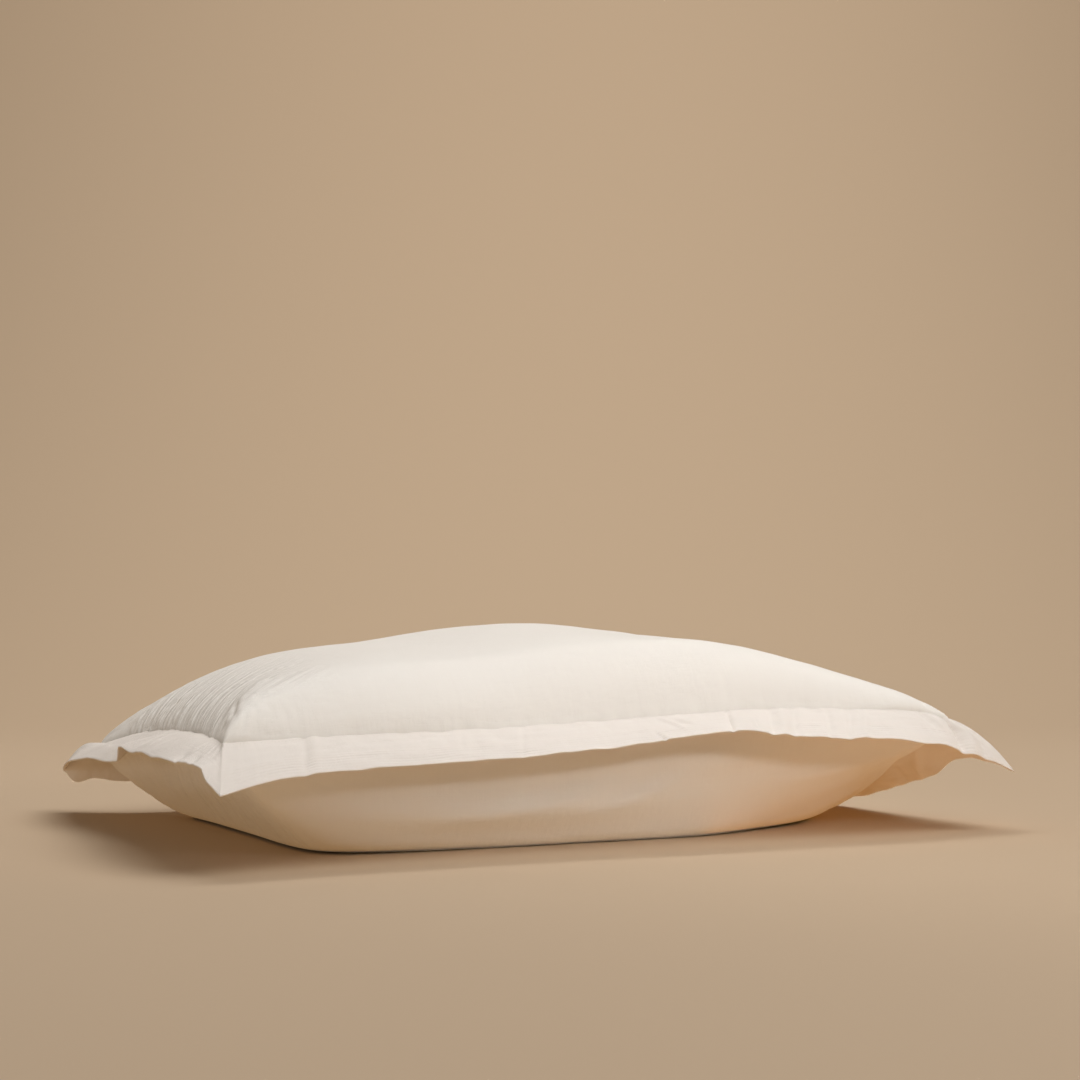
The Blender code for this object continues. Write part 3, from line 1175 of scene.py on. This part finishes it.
@dataclass
class BorderStrip:
    """One strip of doubled cloth round the bag, mitred at both ends."""

    form: BagForm
    placing: Placing
    edge: Edge
    cells: tuple[int, int]
    gathers: tuple[Gathers, ...]
    folds: tuple[Fold, ...] = ()
    thickness: float = 0.12
    hem_extra: float = 0.035
    hem_line: float = 0.60
    hem_blend: float = 0.06
    hem_pitch: float = 0.32
    hem_height: float = 0.045
    seam_offset: float = -0.05
    mitre_gap: float = 0.002
    edge_wave: float = 0.05
    wave_lengths: Pair = (2.2, 8.0)
    ripple_lengths: Pair = (1.2, 3.5)
    ripple_height: float = 0.02
    corner_creases: Pair = (0.07, 0.07)
    crease_pitch: float = 0.62
    mitre_allowance: float = 10.0
    rounding: int = 3
    first_seed: int = 100

    def __post_init__(self) -> None:
        """Work out the strip's length and its finished surfaces."""
        start, end = seam_ends(self.edge)
        self.run = unit(end - start)
        self.length = seam_length(self.edge)
        self.share = np.linspace(0.0, 1.0, self.cells[0] + 1)
        self.across = np.linspace(0.0, 1.0, self.cells[1] + 1)
        self.middle, self.normals = self.surface()

    def relief(self, share: Array, across: Array) -> Array:
        """Raise the smooth strip in gathers, folds, waves and its hem.

        Args:
            share: Shares of the side.
            across: Shares of the way from the seam to the free edge.

        Returns:
            The cloth's height there.
        """
        along, away = share * self.length, across * self.form.border_width
        seed = self.first_seed + 10 * list(Edge).index(self.edge)
        height = sum(g.relief(along, away) for g in self.gathers)
        height += sum(fold.relief(along, away) for fold in self.folds)
        waves, ripples = Tremor(seed, *self.wave_lengths), Tremor(seed + 1, *self.ripple_lengths, 16)
        height += self.edge_wave * across ** 2 * waves.along(along + 0.5 * away)
        height += self.ripple_height * ripples.over(0.6 * along, 1.6 * away)
        height += self.hem_lines(along, away, across, seed + 2)
        at_start, at_end = self.form.corner_pull(self.edge, share)
        pulls = zip(self.corner_creases, (at_start, at_end))
        height += sum(depth * self.corner_streaks(along, away, pull, seed + 5) for depth, pull in pulls)
        return height * (1.0 - ease(at_start, 0.7, 1.0)) * (1.0 - ease(at_end, 0.7, 1.0))

    def hem_lines(self, along: Array, away: Array, across: Array, seed: int) -> Array:
        """Raise fine ridges beside the free edge, where the turned hem has shrunk.

        Args:
            along: Distances along the seam.
            away: Distances away from it.
            across: Shares of the way to the free edge.
            seed: The seed of their wander.

        Returns:
            The ridges' height there.
        """
        wander = 0.7 * Tremor(seed, 6.0, 18.0).along(along)
        ridges = round_folds(math.pi * away / self.hem_pitch + wander, valley=0.02, middle=0.64)
        strength = np.clip(0.75 + 0.5 * Tremor(seed + 1, 3.0, 12.0).over(along, 3.0 * away), 0.1, 1.6)
        band = ease(across, self.hem_line - self.hem_blend, self.hem_line + self.hem_blend)
        return self.hem_height * ridges * strength * band * (1.0 - 0.5 * ease(across, 0.93, 1.0))

    def corner_streaks(self, along: Array, away: Array, pull: Array, seed: int) -> Array:
        """Raise creases that run out to a corner's tip.

        Args:
            along: Distances along the seam.
            away: Distances away from it.
            pull: How much of the corner's tip is in the border.
            seed: The seed of their wander.

        Returns:
            The creases' height there, for a depth of 1.
        """
        wander = 1.3 * Tremor(seed, 1.5, 5.0).over(along, 0.4 * away)
        return round_folds(math.pi * along / self.crease_pitch + wander) * ease(pull, 0.08, 0.4)

    def mitre_normal(self, corner: str) -> Array:
        """Find the normals along the mitre that two strips share.

        Args:
            corner: The corner's name.

        Returns:
            The upward normals, from the seam to the tip.
        """
        total = np.zeros((len(self.across), 3))
        for edge, side in SIDES.items():
            ends = {side.start: ((0.0, 0.01), 0), side.end: ((0.99, 1.0), 1)}
            if corner in ends:
                shares, row = ends[corner]
                grid = np.meshgrid(shares, self.across, indexing="ij")
                total -= surface_normals(self.form.border(edge, *grid))[row]
        return unit(total)

    def surface(self) -> tuple[Array, Array]:
        """Lay out the strip's cloth.

        Returns:
            The middle of the cloth, in centimetres, and its upward normals.
        """
        share, across = np.meshgrid(self.share, self.across, indexing="ij")
        middle = self.form.border(self.edge, share, across)
        middle = middle - surface_normals(middle) * self.relief(share, across)[..., None]
        side = SIDES[self.edge]
        middle = middle + side.away() * self.seam_offset * (1.0 - across[..., None])
        normals = -surface_normals(middle)
        normals[0], normals[-1] = self.mitre_normal(side.start), self.mitre_normal(side.end)
        middle[0] += self.run * self.mitre_gap
        middle[-1] -= self.run * self.mitre_gap
        return middle, normals

    def half_thickness(self, across: Array) -> Array:
        """Half the cloth's thickness, a little more over the turned hem."""
        return (self.thickness + self.hem_extra * ease(across, self.hem_line - 0.02, self.hem_line)) / 2.0

    def skin(self, up: float) -> Array:
        """The strip's upper surface, with up at 1, or its lower one at -1, in centimetres."""
        return self.middle + up * self.normals * self.half_thickness(self.across)[None, :, None]

    def turned_edge(self) -> Array:
        """Turn the cloth round at the free edge.

        Returns:
            Rows of points between the upper and the lower surface, in centimetres.
        """
        outward = unit(self.middle[:, -1] - self.middle[:, -2])
        half = float(self.half_thickness(np.array(1.0)))
        turns = [math.pi * (i + 1) / (self.rounding + 1) for i in range(self.rounding)]
        rows = [
            self.middle[:, -1] + half * (math.cos(a) * self.normals[:, -1] + math.sin(a) * outward)
            for a in turns]
        return np.stack(rows, axis=1)

    def build(self, cotton: bpy.types.Material) -> bpy.types.Object:
        """Make the strip's closed mesh and dress it.

        Args:
            cotton: The cloth's material.

        Returns:
            The strip.
        """
        upper, turn, lower = self.skin(1.0), self.turned_edge(), self.skin(-1.0)
        ring = np.concatenate((upper, turn, lower[:, ::-1]), axis=1)
        stations, around = ring.shape[:2]
        numbers = np.arange(stations * around).reshape(stations, around)
        closed = np.concatenate((numbers, numbers[:, :1]), axis=1)
        faces = lattice(closed)
        faces += self.end_faces(numbers[0], flip=False) + self.end_faces(numbers[-1], flip=True)
        away = np.linalg.norm(np.diff(ring[stations // 2], axis=0), axis=-1).cumsum()
        away = np.concatenate(((0.0,), away))
        along = self.share * self.length
        weave = np.stack(np.meshgrid(along, away, indexing="ij"), axis=-1) * CM
        name = f"border_{self.edge.value}"
        points = self.placing.metres(ring.reshape(-1, 3))
        strip = sew_mesh(f"{name}_cloth", points, faces, weave.reshape(-1, 2))
        self.face_outwards(strip)
        strip.data.materials.append(cotton)
        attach(strip, "root")
        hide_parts(name)
        cut = self.length * CM + self.mitre_allowance * CM
        return strip

    def end_faces(self, ring: Array, flip: bool) -> list:
        """Close an end of the strip.

        Args:
            ring: The point numbers round the end.
            flip: Whether the faces look the other way.

        Returns:
            The faces between its upper and lower points.
        """
        bands = self.cells[1]
        upper, lower = ring[:bands + 1], ring[::-1][:bands + 1]
        faces = lattice(np.stack((upper, lower)), flip)
        turn = [int(n) for n in ring[bands:bands + self.rounding + 2]]
        faces.append(turn if not flip else turn[::-1])
        return faces

    def face_outwards(self, strip: bpy.types.Object) -> None:
        """Turn every face outwards.

        Args:
            strip: The strip.
        """
        bpy.ops.object.select_all(action="DESELECT")
        strip.select_set(True)
        bpy.context.view_layer.objects.active = strip
        bpy.ops.object.mode_set(mode="EDIT")
        bpy.ops.mesh.select_all(action="SELECT")
        bpy.ops.mesh.normals_make_consistent(inside=False)
        bpy.ops.object.mode_set(mode="OBJECT")
        strip.select_set(False)


@dataclass
class StitchRow:
    """A row of short stitches along a strip, half sunk in its cloth.

    Each ring of a stitch has its share of the length, its size and its lift.
    """

    strip: BorderStrip
    placing: Placing
    away: float = 0.28
    pitch: float = 0.30
    stitch: float = 0.22
    thread: float = 0.045
    sides: int = 6
    rings: tuple[Triple, ...] = (
        (0.0, 0.35, -0.9), (0.18, 0.9, -0.35), (0.5, 1.0, -0.1), (0.82, 0.9, -0.35), (1.0, 0.35, -0.9))

    def build(self, thread: bpy.types.Material) -> bpy.types.Object:
        """Lay the stitches over the strip's upper surface.

        Args:
            thread: The thread's material.

        Returns:
            The row of stitches.
        """
        upper = self.strip.skin(1.0)
        band = self.away / self.strip.form.border_width * (upper.shape[1] - 1)
        low = int(band)
        part = band - low
        line = upper[:, low] * (1.0 - part) + upper[:, low + 1] * part
        normals = unit(self.strip.normals[:, low])
        travelled = np.concatenate(((0.0,), np.linalg.norm(np.diff(line, axis=0), axis=-1).cumsum()))
        starts = np.arange(self.away, travelled[-1] - self.away, self.pitch)
        points, faces = [], []
        for start in starts:
            places = start + self.stitch * np.array([ring[0] for ring in self.rings])
            centres = np.stack([np.interp(places, travelled, line[:, a]) for a in range(3)], axis=-1)
            ups = np.stack([np.interp(places, travelled, normals[:, a]) for a in range(3)], axis=-1)
            self.add_stitch(points, faces, centres, unit(ups))
        name = f"stitches_{self.strip.edge.value}"
        row = sew_mesh(name, self.placing.metres(np.array(points)), faces)
        row.data.materials.append(thread)
        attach(row, "root")
        return row

    def add_stitch(self, points: list, faces: list, centres: Array, ups: Array) -> None:
        """Add one rounded stitch to a growing mesh.

        Args:
            points: The mesh's points so far.
            faces: The mesh's faces so far.
            centres: Where the stitch runs over the cloth, from end to end.
            ups: The cloth's normals there.
        """
        ahead = unit(centres[-1] - centres[0])
        radius = self.thread / 2.0
        first = len(points)
        for centre, up, (_share, size, lift) in zip(centres, ups, self.rings):
            aside = np.cross(ahead, up)
            for i in range(self.sides):
                turn = 2.0 * math.pi * i / self.sides
                spoke = math.cos(turn) * up + math.sin(turn) * aside
                points.append(centre + radius * (lift * up + size * spoke))
        numbers = range(first, len(points), self.sides)
        rings = [list(range(number, number + self.sides)) for number in numbers]
        for near, far in zip(rings, rings[1:]):
            for i in range(self.sides):
                j = (i + 1) % self.sides
                faces.append([near[i], near[j], far[j], far[i]])
        faces.append(rings[0][::-1])
        faces.append(rings[-1])


# --------------------------------------------------------------------------------------- studio


@dataclass(frozen=True)
class Lamp:
    """A soft rectangular light and the point that it looks at, in metres and watts."""

    name: str
    place: Triple
    target: Triple
    size: Pair
    power: float
    colour: Triple
    spread: float = 180.0

    def hang(self) -> None:
        """Put the light up."""
        data = bpy.data.lights.new(self.name, "AREA")
        data.spread = math.radians(self.spread)
        data.shape = "RECTANGLE"
        data.size, data.size_y = self.size
        data.energy = self.power
        data.color = self.colour
        lamp = bpy.data.objects.new(self.name, data)
        lamp.location = self.place
        look = Vector(self.target) - Vector(self.place)
        lamp.rotation_euler = look.to_track_quat("-Z", "Y").to_euler()
        lamp.visible_camera = False
        bpy.context.scene.collection.objects.link(lamp)


@dataclass(frozen=True)
class Studio:
    """A pale floor that sweeps up into a backdrop, soft lamps and the camera."""

    placing: Placing
    sweep_colour: Triple = (0.52, 0.393, 0.27)
    eye: Triple = (-83.6, -184.7, 21.4)
    heading: float = -25.0
    tilt_up: float = 1.64
    lens: float = 70.0
    sensor: float = 36.0
    clip: Pair = (0.05, 60.0)
    air_colour: Triple = (1.0, 0.93, 0.84)
    air_strength: float = 0.15
    bend_steps: int = 32
    lamps: tuple[Lamp, ...] = (
        Lamp("key", (0.85, -1.7, 2.7), (0.0, 0.0, 0.1), (2.2, 1.8), 52.5, (1.0, 0.99, 0.98)),
        Lamp("overhead", (0.0, 0.5, 2.6), (0.0, 0.0, 0.1), (1.8, 1.4), 13.0, (1.0, 0.99, 0.98)),
        Lamp("front_fill", (-0.8, -2.3, 1.60), (-0.2, 0.0, 0.08), (1.2, 0.8), 6.0, (1.0, 0.95, 0.88)),
        Lamp("front_beam", (0.70, -2.4, 1.05), (0.07, -0.22, 0.08), (0.35, 0.25), 0.22,
             (1.0, 0.96, 0.92), spread=22.0),
        Lamp("left_low", (-2.0, -0.6, 0.22), (-0.34, 0.0, 0.06), (0.5, 0.3), 0.22,
             (1.0, 0.92, 0.80), spread=50.0),
        Lamp("floor_glow", (-0.02, -0.12, 0.002), (-0.02, -0.12, 1.0), (1.1, 0.95), 0.46, (1.0, 0.56, 0.16)),
        Lamp("glow_right", (0.36, -0.10, 0.003), (0.36, -0.10, 1.0), (0.50, 0.60), 0.12, (1.0, 0.36, 0.04)),
        Lamp("backdrop", (0.6, 0.9, 3.2), (0.8, 3.2, 1.2), (3.0, 1.0), 69.0, (1.0, 0.97, 0.93)),
    )

    def build(self) -> None:
        """Set up the whole studio."""
        self.lay_sweep()
        for lamp in self.lamps:
            lamp.hang()
        self.set_world()
        self.set_camera()

    def lay_sweep(self) -> None:
        """Lay the floor, which curves up behind the piece."""
        half, front, back, bend, top = 9.0, -6.0, 1.4, 2.4, 7.0
        turns = [math.pi / 2.0 * i / self.bend_steps for i in range(self.bend_steps + 1)]
        profile = [(front, 0.0)]
        profile += [(back + bend * math.sin(a), bend * (1.0 - math.cos(a))) for a in turns]
        profile.append((back + bend, top))
        heading = math.radians(self.heading)
        ahead = np.array((-math.sin(heading), math.cos(heading), 0.0))
        aside = np.array((math.cos(heading), math.sin(heading), 0.0))
        points = [ahead * y + aside * x + (0.0, 0.0, z) for y, z in profile for x in (-half, half)]
        numbers = np.arange(len(points)).reshape(-1, 2)
        floor = sew_mesh("floor_sweep", np.array(points), lattice(numbers, flip=True))
        paper = {"Base Color": (*self.sweep_colour, 1.0), "Roughness": 0.85}
        floor.data.materials.append(ShaderDesk("studio_sweep").finish(paper))

    def set_world(self) -> None:
        """Give the room a faint even light."""
        world = bpy.data.worlds.new("studio_air")
        world.use_nodes = True
        air = world.node_tree.nodes["Background"]
        air.inputs["Color"].default_value = (*self.air_colour, 1.0)
        air.inputs["Strength"].default_value = self.air_strength
        bpy.context.scene.world = world
        bpy.context.scene.view_settings.view_transform = "Standard"

    def set_camera(self) -> None:
        """Stand the camera where the photograph was taken from."""
        data = bpy.data.cameras.new("camera")
        data.lens = self.lens
        data.sensor_width = self.sensor
        data.clip_start, data.clip_end = self.clip
        camera = bpy.data.objects.new("camera", data)
        camera.location = self.placing.metres(np.array(self.eye))
        camera.rotation_euler = Euler((math.radians(90.0 + self.tilt_up), 0.0, math.radians(self.heading)))
        bpy.context.scene.collection.objects.link(camera)
        bpy.context.scene.camera = camera


# ----------------------------------------------------------------------------------------- main


def border_strips(form: BagForm, placing: Placing) -> list[BorderStrip]:
    """Plan the four strips of the border, each gathered and folded in its own way.

    Args:
        form: The bag's form.
        placing: Where it stands.

    Returns:
        The strips, in their order round the bag.
    """
    return [
        BorderStrip(
            form, placing, Edge.FRONT, (400, 68),
            gathers=(Gathers(201, 1.7, 0.035, 1.4, 0.3), Gathers(203, 4.2, 0.05, 4.5, 0.33)),
            folds=folded(
                Edge.FRONT,
                (7.2, -1.0, 5.5, 6.0, 0.30, -0.144), (8.0, -1.0, 6.4, 6.0, 0.36, 0.096),
                (8.7, 1.8, 11.0, 1.6, 0.35, -0.048), (15.0, 2.0, 18.2, 0.7, 0.34, -0.078),
                (20.8, 0.6, 19.8, 3.8, 0.25, -0.054), (26.9, 0.0, 24.5, 5.6, 0.26, -0.084),
                (37.8, 3.6, 38.2, 5.4, 0.17, -0.20), (39.6, 0.8, 40.6, 4.0, 0.28, 0.20),
                (40.4, 0.6, 41.6, 3.4, 0.28, -0.19), (47.0, -0.6, 44.4, 5.8, 0.20, -0.26),
                (48.3, 2.2, 47.4, 4.8, 0.20, -0.19), (51.0, 0.3, 48.4, 5.6, 0.38, -0.22),
                (52.2, 0.2, 49.6, 5.6, 0.42, 0.26), (53.4, 0.3, 50.7, 5.6, 0.38, -0.24),
                (57.2, -0.4, 54.4, 5.6, 0.34, -0.17), (59.3, 0.3, 56.3, 5.6, 0.30, -0.22),
                (60.7, 0.5, 57.9, 5.4, 0.30, 0.15), (66.4, 0.2, 66.1, 2.9, 0.24, -0.24),
                (67.1, 0.9, 66.6, 2.8, 0.32, 0.21), (68.9, -0.2, 66.7, 5.4, 0.24, -0.69),
                (69.4, 0.8, 67.4, 5.2, 0.26, 0.30), (69.9, 1.6, 68.2, 5.0, 0.20, -0.30),
                (70.2, 2.4, 69.0, 5.0, 0.20, 0.18)),
            corner_creases=(0.02, 0.09)),
        BorderStrip(
            form, placing, Edge.RIGHT, (280, 32),
            gathers=(Gathers(211, 1.5, 0.07, 1.8), Gathers(213, 3.8, 0.12, 4.5)),
            folds=folded(
                Edge.RIGHT,
                (0.4, 1.2, 2.0, 4.8, 0.26, -0.14), (1.2, 0.6, 3.6, 4.6, 0.34, 0.12),
                (6.0, 0.4, 10.5, 5.0, 0.45, -0.20), (10.0, 0.6, 13.0, 5.0, 0.50, 0.18)),
            edge_wave=0.10),
        BorderStrip(
            form, placing, Edge.BACK, (380, 32),
            gathers=(Gathers(221, 1.7, 0.06, 1.7), Gathers(223, 4.0, 0.10, 4.5)),
            edge_wave=0.10),
        BorderStrip(
            form, placing, Edge.LEFT, (300, 32),
            gathers=(Gathers(231, 1.5, 0.04, 2.2, 0.3), Gathers(233, 4.4, 0.06, 3.6, 0.2)),
            folds=folded(
                Edge.LEFT,
                (24.8, 1.2, 23.8, 5.4, 0.40, -0.08), (27.0, 0.8, 29.6, 4.4, 0.30, -0.09),
                (30.4, 0.6, 33.8, 4.6, 0.34, 0.09), (35.0, 0.8, 37.6, 4.2, 0.30, -0.08),
                (43.4, 3.2, 43.4, 5.4, 0.24, -0.18), (44.5, 3.0, 44.6, 5.4, 0.24, -0.18),
                (46.0, 0.4, 44.9, 5.6, 0.24, -0.13), (46.3, 0.4, 45.35, 5.6, 0.22, 0.11)),
            edge_wave=0.06, wave_lengths=(7.0, 15.0), ripple_lengths=(3.0, 6.0)),
    ]


def main() -> None:
    """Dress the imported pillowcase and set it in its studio."""
    logging.basicConfig(level=logging.INFO, format="%(name)s: %(message)s")
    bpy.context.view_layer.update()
    form = BagForm()
    placing = Placing.from_frame()
    panel_cotton = WovenCotton(
        "panel_cotton_woven", (0.86, 0.83, 0.79), (0.81, 0.77, 0.72), streaks=Streaks()).make()
    # The border is the panels' cloth; its darker, pinker colour is painted shade and painted warm bounce
    # light.
    border_cotton = WovenCotton("border_cotton_painted_shade", (0.81, 0.76, 0.715), (0.765, 0.70, 0.645)).make()
    thread = SewingThread().make()
    bag = FilledBag(form, placing).build(panel_cotton)
    log.info("%s: %d faces", bag.name, len(bag.data.polygons))
    for strip in border_strips(form, placing):
        sewn = strip.build(border_cotton)
        log.info("%s: %d faces", sewn.name, len(sewn.data.polygons))
        row = StitchRow(strip, placing).build(thread)
        log.info("%s: %d faces", row.name, len(row.data.polygons))
    Studio(placing).build()


if __name__ == "__main__":
    main()
